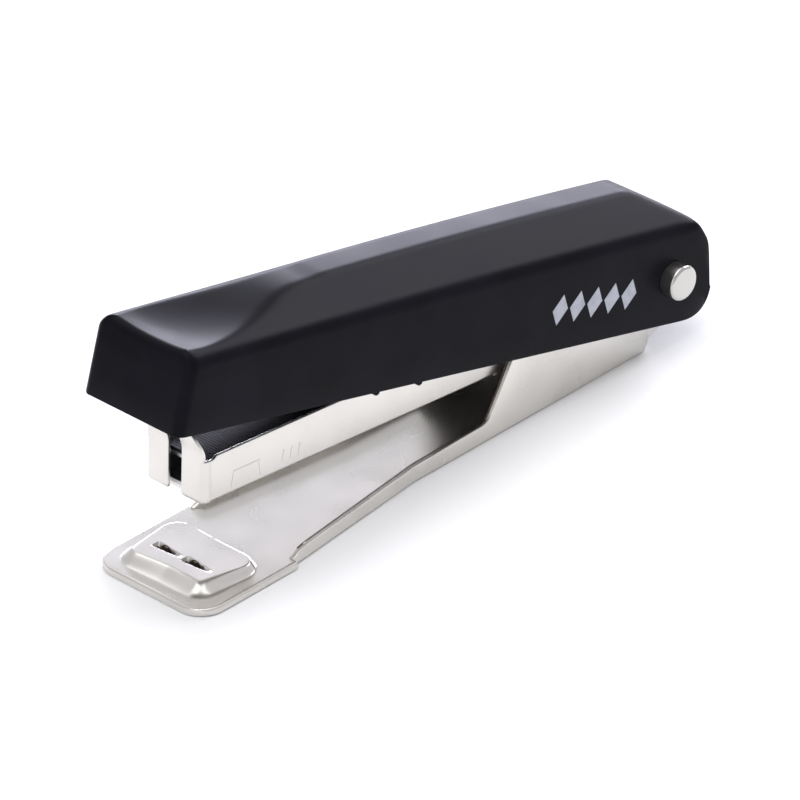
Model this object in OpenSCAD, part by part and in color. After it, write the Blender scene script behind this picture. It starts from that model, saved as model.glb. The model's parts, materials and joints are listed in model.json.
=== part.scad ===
// Mini stapler for No. 10 staples: pressed steel base and magazine, moulded cap, one hinge pin.
// +X runs from the nose to the hinge, +Z is up, and the base stands on Z = 0.
// The magazine and the cap are drawn level in their own frames, with the hinge axis at their
// origin and the nose at -X, and are then pitched up about the hinge pin.

/* [Staple] */
// Outside width of a staple's crown
staple_w = 8.9; // [8:0.1:10.8]
// Length of a staple's leg, crown included
staple_leg = 4.9; // [4:0.1:6]
// Thickness of the staple wire
wire = 0.5; // [0.4:0.05:0.7]
// Number of staples left in the strip
staple_count = 40; // [10:1:50]

/* [Hinge] */
// Height of the hinge axis above the table
pin_h = 10.2; // [9:0.1:14]
// Diameter of the hinge pin
pin_d = 4.8; // [4:0.1:5.8]
// Length of pin that stands out of each side of the cap
pin_proud = 2.2; // [1:0.1:3]
// Pitch of the magazine at rest, nose up, in degrees
mag_pitch = 5.1; // [4:0.1:8]
// Pitch of the cap at rest, nose up, in degrees
cap_pitch = 14.6; // [12:0.1:20]

/* [Base] */
// Width of the base at its nose plate
base_w = 19.9; // [17:0.1:24]
// Thickness of the base's floor
base_t = 1; // [0.8:0.1:1.5]
// Thickness of the base's ears and flanges
ear_t = 0.8; // [0.6:0.1:1.2]
// Height of the flanges above the table
flange_h = 2.4; // [1.8:0.1:4]
// Distance from the magazine's face to the base's nose, when closed
nose_lip = 5.75; // [4:0.1:8]
// Radius of the nose plate's corners
nose_r = 3.6; // [2:0.1:5]
// Height of the anvil pad above the floor
pad_h = 1.2; // [0.6:0.1:1.6]
// Width of the anvil pad at its foot
pad_w = 16; // [12:0.1:17]
// Length of the anvil pad at its foot
pad_len = 11.4; // [8:0.1:13]
// Length of one clinch groove
groove_len = 5; // [4:0.1:5.5]
// Width of a clinch groove
groove_w = 1.7; // [1:0.1:2.5]

/* [Magazine] */
// Distance from the hinge axis to the magazine's face
mag_len = 80.25; // [66:0.5:98]
// Thickness of the magazine's sheet
mag_t = 0.5; // [0.4:0.05:0.7]
// Height of the side walls' top edge above the hinge axis
mag_top = 1.05; // [0.5:0.05:2]
// Height of the front ears above the hinge axis
lip_top = 5; // [4:0.1:6]
// Width of the slot between the front ears
slot_w = 2.3; // [1.5:0.1:3]
// Width of the gap behind the front ears, in which the driver runs
driver_gap = 0.7; // [0.6:0.05:1]
// Depth of the driver blade
driver_t = 0.4; // [0.3:0.05:0.5]

/* [Cap] */
// Distance from the hinge axis to the cap's front face, past the magazine's face
cap_overhang = 7.95; // [6:0.1:10]
// Wall thickness of the cap
cap_wall = 1.5; // [1:0.1:2]
// Depth of the cap's lower edge below the hinge axis
cap_skirt = 6.55; // [6:0.05:8]
// Height of the cap's top above the hinge axis, over the hinge
cap_top = 10.55; // [9.5:0.05:13]
// Height of the cap's side walls above the hinge axis, over the hinge
cap_shoulder = 6.8; // [6.2:0.1:8]
// Width of the flat strip along the cap's top
strip_w = 4.4; // [3:0.1:6]
// Reach of the cap behind the hinge axis
cap_rear = 8; // [7.5:0.1:10]
// Distance by which the cap's front face leans out at its lower edge
nose_rake = 0.9; // [0:0.1:1.5]
// Length of the thumb scoop at the cap's nose
scoop_len = 25; // [18:0.5:30]

/* [Clearances] */
// Gap between a staple and the magazine's wall
staple_gap = 0.15; // [0.1:0.05:0.3]
// Gap between the magazine and the handle frame
frame_gap = 0.2; // [0.15:0.05:0.4]
// Gap between the handle frame and the base's ears
ear_gap = 0.13; // [0.1:0.01:0.3]
// Gap between the base's ears and the cap
cap_gap = 0.29; // [0.2:0.01:0.5]
// Radial clearance of what turns on the hinge pin
pin_gap = 0.05; // [0.02:0.01:0.08]
// Gap between pieces that slide along each other
slide_gap = 0.1; // [0.05:0.05:0.2]

/* [Hidden] */
$fn = 64;
eps = 0.01;

// Half widths, each built on the one inside it.
mag_out = staple_w / 2 + staple_gap + mag_t;
mag_in = mag_out - mag_t;
frame_t = 0.45;
frame_in = mag_out + frame_gap;
frame_out = frame_in + frame_t;
ear_in = frame_out + ear_gap;
ear_out = ear_in + ear_t;
cap_in = ear_out + cap_gap;
cap_out = cap_in + cap_wall;

// Levels in the magazine's own frame.
mag_floor_t = 0.5;
rail_top = mag_top - 0.9 - wire - 0.05;
strip_top = rail_top + 0.05 + wire;
mag_floor = strip_top - staple_leg;
mag_bottom = mag_floor - mag_floor_t;

// Places along the magazine.
slot_back = -mag_len + mag_t + driver_gap;
mag_floor_end = -29;
strip_len = staple_count * wire;
pusher_x = slot_back + strip_len + 0.05;
pusher_len = 7;
rail_end = -27;

// The hinge axis, placed so that the origin is the middle of the whole length.
cap_len = mag_len + cap_overhang - nose_rake;
nose_reach = (cap_len + nose_rake) * cos(cap_pitch) + cap_skirt * sin(cap_pitch);
rear_reach = cap_rear - 0.78;
pin_x = (nose_reach - rear_reach) / 2;

// The driver hangs square to the magazine when the cap is pressed down to cap_lift above it.
pad_top = base_t + pad_h;
cap_lift = 2.2;
driver_reach = mag_len - mag_t - driver_gap / 2 - 0.12;
groove_x = pin_x - mag_len + mag_t + driver_gap / 2;

// Places along the base.
base_nose = pin_x - mag_len - nose_lip;
pad_x = groove_x + 6.3;
jog_x = base_nose + 16.4;
kink_x = pin_x - 45.7;
base_rear = pin_x - 3.1;
ear_foot = pin_x - 32.4;

module at_magazine() {
    translate([pin_x, 0, pin_h]) rotate([0, mag_pitch, 0]) children();
}

module at_cap() {
    translate([pin_x, 0, pin_h]) rotate([0, cap_pitch, 0]) children();
}

// Extrudes a side view, drawn in X and Z, to a width centred on the middle plane.
module side_view(w) {
    rotate([90, 0, 0]) translate([0, 0, -w / 2]) linear_extrude(w) children();
}

// A straight round bar along Y, centred on the middle plane.
module cross_bar(r, w) {
    rotate([90, 0, 0]) cylinder(r = r, h = w, center = true);
}

// A box given by its low corner and its high corner.
module span(low, high) {
    translate(low) cube(high - low);
}

module rounded_plan(x0, x1, w, r) {
    for (x = [x0 + r, x1 - r], y = [-w / 2 + r, w / 2 - r]) translate([x, y]) circle(r);
    translate([x0 + r, -w / 2]) square([x1 - x0 - 2 * r, w]);
    translate([x0, -w / 2 + r]) square([x1 - x0, w - 2 * r]);
}

// ---- base ----

// Plan of the base behind the nose plate, with its sides moved in by inset.
module tail_plan(inset) {
    front = base_w / 2 - 0.7 - inset;
    back = ear_out - inset;
    polygon([[jog_x, -front], [kink_x, -back], [base_rear, -back], [base_rear, back],
        [kink_x, back], [jog_x, front]]);
}

// Side view of the flanges and of the ears that carry the hinge pin.
module ear_view() {
    ear_r = 4.9;
    polygon([[jog_x, 0], [jog_x, 1.4], [jog_x + 1.6, flange_h - 0.7], [ear_foot, flange_h + 0.4],
        [ear_foot + 7.3, pin_h + 3.5], [ear_foot + 8.6, pin_h + 4.1],
        [pin_x - 0.1, pin_h + ear_r - 0.02], [pin_x, pin_h], [base_rear + 2.4, 2.4],
        [base_rear + 0.3, 1.6], [base_rear, 0.6], [base_rear - 0.6, 0]]);
    translate([pin_x, pin_h]) circle(ear_r);
    polygon([[pin_x, pin_h], [pin_x + ear_r * cos(20), pin_h - ear_r * sin(20)],
        [base_rear + 2.4, 2.4]]);
}

// One trough in the pad, which turns a staple's leg inward.
module clinch_groove() {
    groove_depth = 0.9;
    bend_r = (groove_len * groove_len / 4 + groove_depth * groove_depth) / (2 * groove_depth);
    translate([groove_x, groove_len / 2 + 0.1, pad_top + bend_r - groove_depth])
        rotate([0, 90, 0]) cylinder(r = bend_r, h = groove_w, center = true);
}

module base_frame() color("gainsboro") {
    difference() {
        union() {
            linear_extrude(base_t) {
                rounded_plan(base_nose, jog_x + nose_r, base_w, nose_r);
                tail_plan(0);
            }
            translate([0, 0, base_t - eps]) linear_extrude(pad_h * 0.4 + eps)
                rounded_plan(pad_x - pad_len, pad_x, pad_w, 3);
            translate([0, 0, base_t - eps]) linear_extrude(pad_h + eps)
                rounded_plan(pad_x - pad_len + 1.4, pad_x - 1, pad_w - 2.4, 2.4);
        }
        for (side = [0, 1]) mirror([0, side, 0]) clinch_groove();
        translate([jog_x + 0.01, -base_w, -1]) difference() {
            cube([2 * nose_r, 2 * base_w, base_t + 2]);
            translate([-jog_x, base_w, 0]) linear_extrude(base_t + 2) tail_plan(0);
        }
    }
    difference() {
        intersection() {
            linear_extrude(3 * pin_h) difference() {
                union() {
                    tail_plan(0);
                    translate([base_rear - 1, -ear_out]) square([20, 2 * ear_out]);
                }
                union() {
                    tail_plan(ear_t);
                    translate([base_rear - 1, -ear_in]) square([20, 2 * ear_in]);
                }
            }
            side_view(2 * base_w) ear_view();
        }
        translate([pin_x, 0, pin_h]) cross_bar(pin_d / 2, 4 * ear_out);
    }
}

module hinge_pin() color("silver") {
    face = cap_out + pin_proud;
    bevel = 0.35;
    translate([pin_x, 0, pin_h]) rotate([90, 0, 0]) rotate_extrude() polygon([[0, -face],
        [pin_d / 2 - bevel, -face], [pin_d / 2, bevel - face], [pin_d / 2, face - bevel],
        [pin_d / 2 - bevel, face], [0, face]]);
}

// A leaf that is riveted to the floor near the rear and lifts the magazine at its front end.
spring_t = 0.35;
leaf_w = 6;
leaf_rivet_x = pin_x - 12;
leaf_tip_x = pin_x + mag_floor_end - 2;
leaf_tip_z = pin_h - (mag_floor_end - 2) * sin(mag_pitch) + mag_bottom * cos(mag_pitch) - 0.15;

module base_return_spring() color("dimgray") {
    rise = leaf_tip_z - base_t - spring_t;
    run = leaf_rivet_x - 3 - leaf_tip_x;
    steps = 12;
    curve = [for (i = [0:steps]) [leaf_rivet_x - 3 - run * i / steps,
        base_t + rise * (1 - cos(180 * i / steps)) / 2]];
    difference() {
        side_view(leaf_w) polygon(concat(
            [[leaf_rivet_x + 3, base_t + spring_t], [leaf_rivet_x + 3, base_t]], curve,
            [for (i = [steps:-1:0]) curve[i] + [0, spring_t]]));
        translate([leaf_rivet_x, 0, 0]) cylinder(r = 1, h = pin_h);
    }
}

module base_spring_rivet() color("silver") {
    translate([leaf_rivet_x, 0, base_t]) cylinder(r = 1, h = spring_t);
    translate([leaf_rivet_x, 0, base_t + spring_t]) cylinder(r = 1.9, h = 0.6);
}

// ---- magazine ----

// Side view of the magazine's walls, with a rounded lobe about the hinge pin.
module wall_view() {
    lobe_r = 4.2;
    heel = 2.5;
    polygon([[-mag_len + mag_t, mag_bottom], [mag_floor_end, mag_bottom],
        [mag_floor_end + heel * 0.6, mag_bottom + 0.35], [mag_floor_end + heel, mag_bottom + 1.35],
        [0.6, 0.1 - lobe_r], [0.6, lobe_r - 0.1], [-9, mag_top], [-mag_len + 2.2, mag_top],
        [-mag_len + 1.7, mag_top - 0.4], [-mag_len + mag_t, mag_top - 0.4]]);
    circle(lobe_r);
}

// One front ear, folded in from the side wall, with its top rounded and leaning forward.
module front_ear() {
    corner = 2.6;
    span([-mag_len, slot_w / 2, mag_bottom], [-mag_len + mag_t, mag_out, mag_top - 0.4]);
    translate([-mag_len + mag_t, 0, 0]) rotate([0, -90, 0]) linear_extrude(mag_t) {
        translate([mag_top - 0.4 - eps, slot_w / 2])
            square([lip_top - corner - mag_top + 0.4 + eps, mag_out - slot_w / 2 - 0.3]);
        translate([lip_top - corner - eps, slot_w / 2])
            square([corner + eps, mag_out - slot_w / 2 - 0.3 - corner]);
        translate([lip_top - corner, mag_out - 0.3 - corner]) intersection() {
            circle(corner);
            square(corner);
        }
    }
}

module magazine_channel() color("gainsboro") at_magazine() {
    difference() {
        side_view(2 * mag_out) wall_view();
        span([-mag_len - 1, -mag_in, mag_floor], [10, mag_in, 20]);
        span([mag_floor_end, -mag_in, -20], [10, mag_in, 20]);
        span([-mag_len, -mag_in, -20], [slot_back, mag_in, 20]);
        cross_bar(pin_d / 2 + pin_gap, 4 * mag_out);
        rivet_holes();
    }
    for (side = [0, 1]) mirror([0, side, 0]) front_ear();
}

rail_out = staple_w / 2 - wire - slide_gap;
rail_t = 0.5;
rail_foot = rail_out - rail_t - 1.7;
tongue_w = 2.3;
rivet_r = 0.55;
rivet_y = (rail_foot + rail_out - rail_t) / 2;
rivet_places = [[14.25 - mag_len, 0], [-32, -rivet_y], [-32, rivet_y]];

module rivet_holes() {
    for (p = rivet_places) translate([p.x, p.y, mag_bottom - 1])
        cylinder(r = rivet_r, h = mag_floor_t + rail_t + 1.5);
}

// Inverted channel that the staples straddle, with a slot along its top for the pusher's tongue.
module staple_rail() color("lightgray") at_magazine() {
    difference() {
        span([slot_back, -rail_out, mag_floor], [rail_end, rail_out, rail_top]);
        span([slot_back - 1, -rail_out + rail_t, mag_floor + rail_t],
            [rail_end + 1, rail_out - rail_t, rail_top - rail_t]);
        span([pusher_x + 1, -tongue_w / 2 - 0.15, -2], [rail_end + 1, tongue_w / 2 + 0.15, 2]);
        span([pusher_x + 1, -rail_foot, -20], [rail_end + 1, rail_foot, mag_floor + 1]);
        rivet_holes();
    }
}

module rail_rivets() color("silver") at_magazine() {
    for (p = rivet_places) translate([p.x, p.y, 0]) {
        translate([0, 0, mag_bottom]) cylinder(r = rivet_r, h = mag_floor_t + rail_t + eps);
        translate([0, 0, mag_floor + rail_t]) cylinder(r = 0.8, h = 0.35);
    }
}

// A strip of staples, one wire short of the driver's gap.
module staple_strip() color("silver") at_magazine() {
    difference() {
        span([slot_back, -staple_w / 2, strip_top - staple_leg + 0.02],
            [slot_back + strip_len, staple_w / 2, strip_top]);
        span([slot_back - 1, -staple_w / 2 + wire, -20],
            [slot_back + strip_len + 1, staple_w / 2 - wire, strip_top - wire]);
    }
}

rod_z = (rail_top + mag_floor) / 2;
rod_r = 0.6;
rod_front = pusher_x + 3;
bracket_x = -8;

module guide_rod() color("silver") at_magazine() {
    translate([rod_front, 0, rod_z]) rotate([0, 90, 0])
        cylinder(r = rod_r, h = bracket_x + 1.6 - rod_front);
}

module rod_bracket() color("gainsboro") at_magazine() {
    difference() {
        span([bracket_x, -mag_in, rod_z - 1.6], [bracket_x + 0.8, mag_in, mag_top]);
        translate([bracket_x - 1, 0, rod_z]) rotate([0, 90, 0]) cylinder(r = rod_r, h = 3);
    }
}

module rod_clip() color("dimgray") at_magazine() {
    translate([bracket_x + 0.8, 0, rod_z]) rotate([0, 90, 0]) difference() {
        cylinder(r = 1.3, h = 0.4);
        translate([0, 0, -1]) cylinder(r = rod_r, h = 2);
    }
}

module spring_seat_washer() color("silver") at_magazine() {
    translate([bracket_x - 0.4, 0, rod_z]) rotate([0, 90, 0]) difference() {
        cylinder(r = 1.9, h = 0.4);
        translate([0, 0, -1]) cylinder(r = rod_r, h = 2);
    }
}

module pivot_bush() color("lightgray") at_magazine() {
    difference() {
        cross_bar(3.3, 2 * mag_in);
        cross_bar(pin_d / 2 + pin_gap, 4 * mag_in);
    }
}

// A saddle that straddles the rail, with a tongue that runs on the rod inside it.
module pusher() color("dimgray") at_magazine() {
    pusher_out = mag_in - staple_gap;
    difference() {
        union() {
            difference() {
                span([pusher_x, -pusher_out, mag_floor + slide_gap],
                    [pusher_x + pusher_len, pusher_out, mag_top - 0.15]);
                span([pusher_x - 1, -rail_out - slide_gap, -20],
                    [pusher_x + pusher_len + 1, rail_out + slide_gap, rail_top + slide_gap]);
            }
            span([rod_front + 0.6, -tongue_w / 2, rod_z - 1.4],
                [rod_front + 2.2, tongue_w / 2, rail_top + 0.5]);
        }
        translate([rod_front - 1, 0, rod_z]) rotate([0, 90, 0])
            cylinder(r = rod_r + slide_gap, h = 6);
    }
}

// Coil over the rod: rings joined end to end by a thin sleeve of the coil's inner diameter.
module pusher_spring() color("silver") at_magazine() {
    spring_front = rod_front + 2.3;
    spring_back = bracket_x - 0.45;
    turns = 28;
    pitch = (spring_back - spring_front - 0.4) / (turns - 1);
    for (i = [0:turns - 1]) translate([spring_front + 0.2 + i * pitch, 0, rod_z])
        rotate([0, 90, 0]) rotate_extrude() translate([1.25, 0]) circle(0.2, $fn = 16);
    translate([spring_front + 0.2, 0, rod_z]) rotate([0, 90, 0]) difference() {
        cylinder(r = 1.25, h = spring_back - spring_front - 0.4);
        translate([0, 0, -1]) cylinder(r = 1.05, h = 100);
    }
}

// ---- cap ----

// Superellipse quarter: 1 at u = 0, falling steeply as u nears 1, where it ends in a small flat.
function quarter(u, n) = pow(1 - pow(min(0.985, max(0, u)), n), 1 / n);

// Height of the cap's top strip and of its shoulder at station x.
function strip_z(x) = cap_top + 0.0187 * x - 0.00035 * x * x;
function shoulder_z(x) = cap_shoulder + 0.032 * x - 0.0001 * x * x;
// Behind the hinge the top falls straight to a knee, and then rounds over to the rear.
knee_x = 4.2;
knee_z = cap_top - 3.35;
rear_mid = -2.2;
function rear_z(x) = x < -3.5 ? 100
    : x < knee_x ? knee_z + 0.43 * (knee_x - x)
    : rear_mid + (knee_z - rear_mid) * quarter((x - knee_x) / (cap_rear - knee_x), 1.15);
function lower_z(x) = x < 3 ? -cap_skirt
    : rear_mid - (cap_skirt + rear_mid) * quarter((x - 3) / (cap_rear - 3), 2.6);

// Floor of the thumb scoop: a dish that sinks toward the nose.
scoop_x = -cap_len + scoop_len;
function scoop_z(x, y) = x > scoop_x ? 100
    : 3.5 + 0.017 * y * y + (strip_z(scoop_x) - 3.5) * pow(1 - (scoop_x - x) / scoop_len, 2.6);

// Upper surface of the cap over the point (x, y), with its half width w.
function roof_z(x, y, w) = -0.003 * y * y + min(strip_z(x), rear_z(x), scoop_z(x, y),
    abs(y) < strip_w / 2 ? 100 : strip_z(x)
    - (strip_z(x) - shoulder_z(x)) * (abs(y) - strip_w / 2) / (w - strip_w / 2));

// Half width at station x: the front corners are rounded.
function half_w(x, w, nose) = let(r = 1.3) x > nose + r ? w
    : w - r + sqrt(max(0, r * r - pow(nose + r - x, 2)));

// How far the front face leans out at level z, fading over the first 10 mm behind the nose.
function rake(dx, z) = nose_rake * max(0, 1 - dx / 10) * (4 - z) / (4 + cap_skirt);

// Solid between the stations xs: w is the half width, drop lowers its roof, and open is how far
// it runs on below the cap's lower edge.
module cap_solid(xs, w, drop, open) {
    across = [-1, -0.87, -0.74, -0.6, -0.45, -0.26, -0.13, 0, 0.13, 0.26, 0.45, 0.6, 0.74, 0.87, 1];
    n = len(across) + 2;
    nose = xs[0];
    points = [for (x = xs) let(h = half_w(x, w, nose))
        each [for (p = concat([[-h, lower_z(x) - open]],
            [for (a = across) [a * h, roof_z(x, a * h, w) - drop]],
            [[h, lower_z(x) - open]])) [x - rake(x - nose, p.y), p.x, p.y]]];
    sides = [for (i = [0:len(xs) - 2], j = [0:n - 1]) let(k = (j + 1) % n)
        each [[i * n + j, (i + 1) * n + k, (i + 1) * n + j],
            [i * n + j, i * n + k, (i + 1) * n + k]]];
    ends = [[for (j = [n - 1:-1:0]) j], [for (j = [0:n - 1]) (len(xs) - 1) * n + j]];
    polyhedron(points, concat(sides, ends), convexity = 6);
}

// Stations from a nose at x0 to a rear at x1, closer together where the outline turns.
function stations(x0, x1) = [x0, x0 + 0.3, x0 + 1, x0 + 2.1, x0 + 5, x0 + 9, x0 + 13, x0 + 17,
    x0 + 20, for (i = [0:3]) scoop_x + (-3.5 - scoop_x) * i / 4, -3.5, -1, 1.5, knee_x,
    for (k = [0.25, 0.5, 0.72, 0.9, 1]) knee_x + (x1 - knee_x) * k];

module cap_shell() color("#1d1e24") at_cap() {
    difference() {
        cap_solid(stations(-cap_len, cap_rear), cap_out, 0, 0);
        cap_solid(stations(-cap_len + cap_wall, cap_rear - cap_wall), cap_in, cap_wall, 3);
        span([3, -cap_in, -cap_skirt - 1], [cap_rear + 1, cap_in, 1.5]);
        cross_bar(pin_d / 2 + pin_gap, 4 * cap_out);
    }
    for (x = [-52.7, -45], side = [0, 1]) mirror([0, side, 0])
        span([x - 0.5, cap_in, -cap_skirt - 0.35], [x + 0.5, cap_in + 0.7, -cap_skirt + eps]);
}

// Levels of the handle frame's web, in the cap's own frame, at the driver and near the hinge.
web_front = -mag_len + 1.9;
web_front_z = 1.5;
web_rear = -5;
web_rear_z = 5;
web_slope = (web_rear_z - web_front_z) / (web_rear - web_front);
function web_z(x) = web_front_z + (x - web_front) * web_slope;

module handle_frame() color("lightgray") at_cap() {
    lug_r = 4.4;
    flange = 1.6;
    difference() {
        union() {
            side_view(2 * frame_out) polygon([[web_front, web_z(web_front) - flange],
                [web_front, web_z(web_front)], [web_rear, web_z(web_rear)], [0.6, lug_r - 0.2],
                [0.6, 0.2 - lug_r], [-4, 1 - lug_r], [-16, web_z(-16) - flange]]);
            cross_bar(lug_r, 2 * frame_out);
        }
        side_view(2 * frame_in) polygon([[web_front - 1, web_z(web_front - 1) - frame_t],
            [web_rear, web_z(web_rear) - frame_t], [web_rear, 20], [20, 20], [20, -20],
            [web_front - 1, -20]]);
        cross_bar(pin_d / 2 + pin_gap, 4 * frame_out);
        for (y = [-2.4, 2.4]) translate([web_front + 2, y, -10]) cylinder(r = 0.7, h = 20);
        translate([-16, 0, 0]) cylinder(r = 0.9, h = 20);
    }
}

// Blade that shears one staple off the strip, hung under the frame's web by two rivets.
module driver_blade() color("silver") at_cap() {
    driver_w = staple_w - 0.1;
    tip = mag_bottom + 0.05;
    top = web_z(web_front) - frame_t - 0.05;
    rotate([0, -cap_lift, 0]) translate([-driver_reach, 0, 0])
        span([-driver_t / 2, -driver_w / 2, tip], [driver_t / 2, driver_w / 2, top + 3.2]);
    difference() {
        span([-driver_reach - 0.05, -driver_w / 2, top - driver_t],
            [web_front + 4, driver_w / 2, top]);
        for (y = [-2.4, 2.4]) translate([web_front + 2, y, -10]) cylinder(r = 0.7, h = 20);
    }
}

module driver_rivets() color("silver") at_cap() {
    x = web_front + 2;
    for (y = [-2.4, 2.4]) {
        translate([x, y, web_z(x) - frame_t - 0.9]) cylinder(r = 0.7, h = frame_t + 1.2);
        translate([x, y, web_z(x) - frame_t - 0.9]) cylinder(r = 1.2, h = 0.3);
        translate([x, y, web_z(x) + 0.06]) cylinder(r = 1.2, h = 0.35);
    }
}

// Leaf under the frame's web that bears on the magazine and lifts the cap off it.
module handle_spring() color("dimgray") at_cap() {
    tip_x = -34;
    root_x = -13;
    steps = 10;
    tip_z = (rail_top + 0.3 + tip_x * sin(cap_pitch - mag_pitch)) / cos(cap_pitch - mag_pitch);
    drop = web_z(tip_x) - frame_t - 0.05 - spring_t - tip_z;
    curve = [for (i = [0:steps]) let(x = root_x - 5 + (tip_x - root_x + 5) * i / steps)
        [x, web_z(x) - frame_t - 0.05 - drop * (1 - cos(90 * i / steps))]];
    difference() {
        side_view(5) polygon(concat([[root_x, web_z(root_x) - frame_t - 0.05]], curve,
            [for (i = [steps:-1:0]) curve[i] - [0, spring_t]],
            [[root_x, web_z(root_x) - frame_t - 0.05 - spring_t]]));
        translate([-16, 0, -10]) cylinder(r = 0.9, h = 20);
    }
}

module handle_spring_rivet() color("silver") at_cap() {
    low = web_z(-16) - frame_t - spring_t - 0.2;
    translate([-16, 0, low - 0.4]) cylinder(r = 0.9, h = frame_t + spring_t + 0.8);
    translate([-16, 0, low - 0.4]) cylinder(r = 1.6, h = 0.5);
    translate([-16, 0, web_z(-16) + 0.1]) cylinder(r = 1.6, h = 0.4);
}

base_frame();
hinge_pin();
base_return_spring();
base_spring_rivet();
magazine_channel();
staple_rail();
rail_rivets();
staple_strip();
guide_rod();
rod_bracket();
rod_clip();
spring_seat_washer();
pivot_bush();
pusher();
pusher_spring();
cap_shell();
handle_frame();
driver_blade();
driver_rivets();
handle_spring();
handle_spring_rivet();
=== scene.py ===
import json
import math

import bmesh
import bpy
import numpy as np
from mathutils import Matrix, Vector


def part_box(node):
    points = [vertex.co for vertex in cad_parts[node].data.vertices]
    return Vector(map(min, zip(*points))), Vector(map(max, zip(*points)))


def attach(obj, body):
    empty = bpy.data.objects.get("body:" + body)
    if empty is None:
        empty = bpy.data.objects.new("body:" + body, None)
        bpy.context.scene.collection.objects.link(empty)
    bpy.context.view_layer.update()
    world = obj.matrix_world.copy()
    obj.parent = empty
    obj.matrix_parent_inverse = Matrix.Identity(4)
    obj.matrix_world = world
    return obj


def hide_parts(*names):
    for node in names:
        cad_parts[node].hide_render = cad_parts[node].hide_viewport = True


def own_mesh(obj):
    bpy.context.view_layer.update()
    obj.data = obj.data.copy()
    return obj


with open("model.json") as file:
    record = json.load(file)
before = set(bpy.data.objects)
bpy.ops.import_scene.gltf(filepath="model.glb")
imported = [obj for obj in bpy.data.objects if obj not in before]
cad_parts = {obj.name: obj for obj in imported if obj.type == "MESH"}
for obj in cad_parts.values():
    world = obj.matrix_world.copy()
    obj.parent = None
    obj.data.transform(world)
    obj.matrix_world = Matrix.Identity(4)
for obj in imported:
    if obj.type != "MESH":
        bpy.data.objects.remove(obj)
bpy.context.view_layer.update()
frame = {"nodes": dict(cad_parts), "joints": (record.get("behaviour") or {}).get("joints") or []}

bl_info = {
    "name": "Mini Stapler",
    "version": (1, 0, 0),
    "blender": (4, 5, 0),
    "location": "View3D > Sidebar > Stapler",
    "description": "Builds the visible pieces of a mini stapler over its packed frame",
    "category": "Object",
}

# ---- the frame: lengths below are in millimetres, in the row frame or in a part's own level frame ----

MM = 0.001
JOINTS = {j["name"]: j for j in frame["joints"]}
PIN = Vector(JOINTS["magazine_pivot"]["pos_m"]) / MM
MAGAZINE_PITCH = math.degrees(math.atan2(-JOINTS["pusher_slide"]["axis"][2], JOINTS["pusher_slide"]["axis"][0]))
CAP_PITCH = 14.6
LOW = {name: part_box(name)[0] / MM for name in frame["nodes"]}
HIGH = {name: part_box(name)[1] / MM for name in frame["nodes"]}

# Half widths, each built on the one inside it, as in the frame.
MAG_T = 0.5
MAG_OUT = HIGH["magazine_channel"].y
MAG_IN = MAG_OUT - MAG_T
EAR_OUT = 6.68
EAR_T = 0.8
CAP_WALL = 1.5
CAP_OUT = HIGH["cap_shell"].y
CAP_IN = CAP_OUT - CAP_WALL

# Along the magazine, from the hinge axis.
MAG_LEN = 80.25
MAG_TOP = 1.05
MAG_BOTTOM = -5.25
MAG_FLOOR_END = -29.0
SLOT_BACK = -MAG_LEN + MAG_T + 0.7
EAR_TOP = 5.0
SLOT_HALF = 1.15
LOBE_R = 4.2
RELIEF_Z = 0.64
STAPLE_COUNT = 40
STAPLE_WIRE = 0.5
STAPLE_TOP = 0.1
COIL_FRONT, COIL_BACK, COIL_Z = -53.65, -8.45, -2.575
COIL_TURNS = 34.0
COIL_R = 1.25
COIL_WIRE_R = 0.2

# Along the base.
BASE_NOSE = LOW["base_frame"].x
BASE_T = 1.0
BASE_HALF = HIGH["base_frame"].y
GROOVE_X = PIN.x - MAG_LEN + MAG_T + 0.35
GROOVE_CENTRES = (2.7, -2.45)
GROOVE_REACH = 2.45
GROOVE_DEPTH = 1.15
PAD_X = GROOVE_X + 6.3
PAD_LEN = 11.4
PAD_HALF = 8.0
PAD_H = 1.2
PAD_R = 3.0
JOG_X = BASE_NOSE + 16.4
KINK_X = PIN.x - 45.7
BASE_REAR = PIN.x - 3.1
EAR_FOOT = PIN.x - 32.4
EAR_R = 4.9
FLANGE_TOP = [(JOG_X + 1.3, 1.75), (JOG_X + 2.6, 1.95), (EAR_FOOT - 1, 2.62), (EAR_FOOT, 2.85),
              (EAR_FOOT + 0.5, 3.4), (EAR_FOOT + 7.0, PIN.z + 3.1)]

# Along the cap, from the hinge axis.
NOSE_RAKE = 0.9
CAP_NOSE = -(MAG_LEN + 7.95 - NOSE_RAKE)
CAP_REAR = 8.0
CAP_SKIRT = 6.55
CAP_TOP = 10.55
CAP_SMOOTH = 34
STRIP_HALF = 2.2
EDGE_BLEND = 0.3

# The cap's rear: where the sloping facet turns down, the height where the outline stands furthest back,
# and the upright plane, past the pin in the row frame, that nothing of it may pass.
KNEE_X, KNEE_Z = 3.4, CAP_TOP - 3.05
REAR_MID_Z = -2.2
REAR_PLANE = 7.18

# The thumb scoop: where it starts, how long its fall is, its floor, and its hollow across, per mm squared.
SCOOP_X = -61.2
SCOOP_LEN = 23.5
SCOOP_FLOOR = 3.65
SCOOP_HOLLOW = 0.0135

# Catch tabs under the cap's edge, and the lozenges printed on its side.
TAB_XS = (-52.7, -45.0)
TAB_T = 0.7
MARK_XS = (-21.2, -17.95, -14.7, -11.45, -8.2)
MARK_HALF, MARK_RISE, MARK_SLANT, MARK_Z = 1.42, 2.05, 0.3, -0.85


# ---- small helpers ----

def linear(hex_colour):
    """An sRGB hex value as linear RGBA."""
    parts = [int(hex_colour[i:i + 2], 16) / 255 for i in (1, 3, 5)]
    return tuple(c / 12.92 if c <= 0.04045 else ((c + 0.055) / 1.055) ** 2.4 for c in parts) + (1.0,)


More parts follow.
